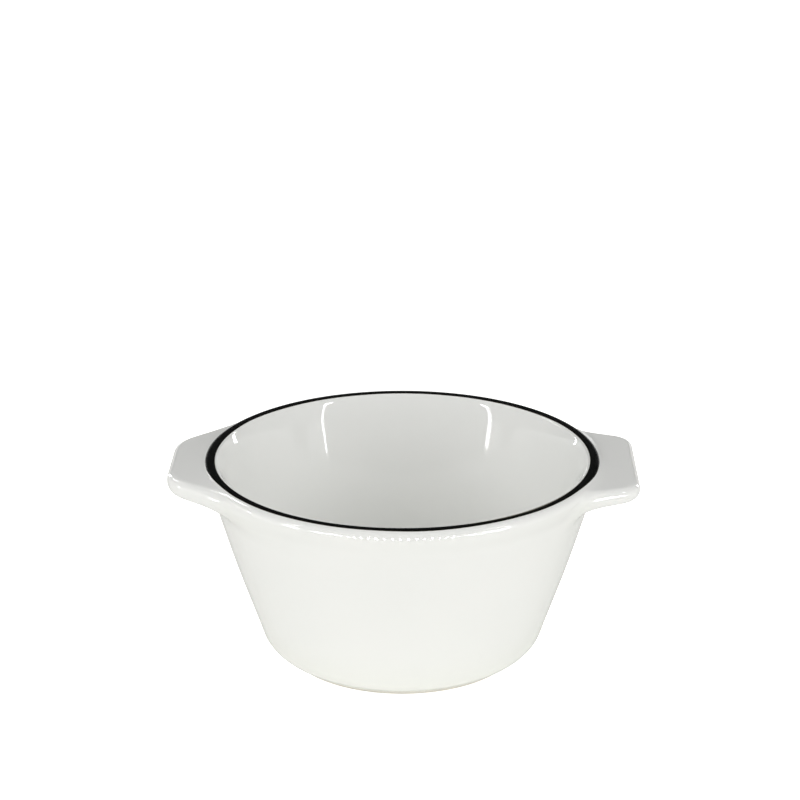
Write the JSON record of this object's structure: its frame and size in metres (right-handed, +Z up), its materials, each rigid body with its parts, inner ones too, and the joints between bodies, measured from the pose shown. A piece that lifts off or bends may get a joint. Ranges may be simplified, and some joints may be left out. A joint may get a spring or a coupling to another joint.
{
  "type": "baking dish",
  "caption": "Round white glazed porcelain baking dish for one portion, with tapered sides, a black-banded lip, solid tab handles and a low foot ring.",
  "frame": {"origin": "centre of the foot ring on the table, under the dish's axis", "axes": "+Z up along the dish's axis, +X through the right handle, -Y towards the viewer of the picture"},
  "size_m": [0.1188, 0.1016, 0.0519],
  "materials": {
    "white_glazed_porcelain": "high gloss clear glaze on white porcelain",
    "black_fired_glaze": "glossy black fired band",
    "bare_porcelain": "unglazed, wiped and sanded"
  },
  "bodies": {
    "root": {"bowl": "white_glazed_porcelain", "left_handle": "white_glazed_porcelain", "right_handle": "white_glazed_porcelain", "rim_band": "black_fired_glaze", "foot_ring": "bare_porcelain"}
  },
  "joints": []
}
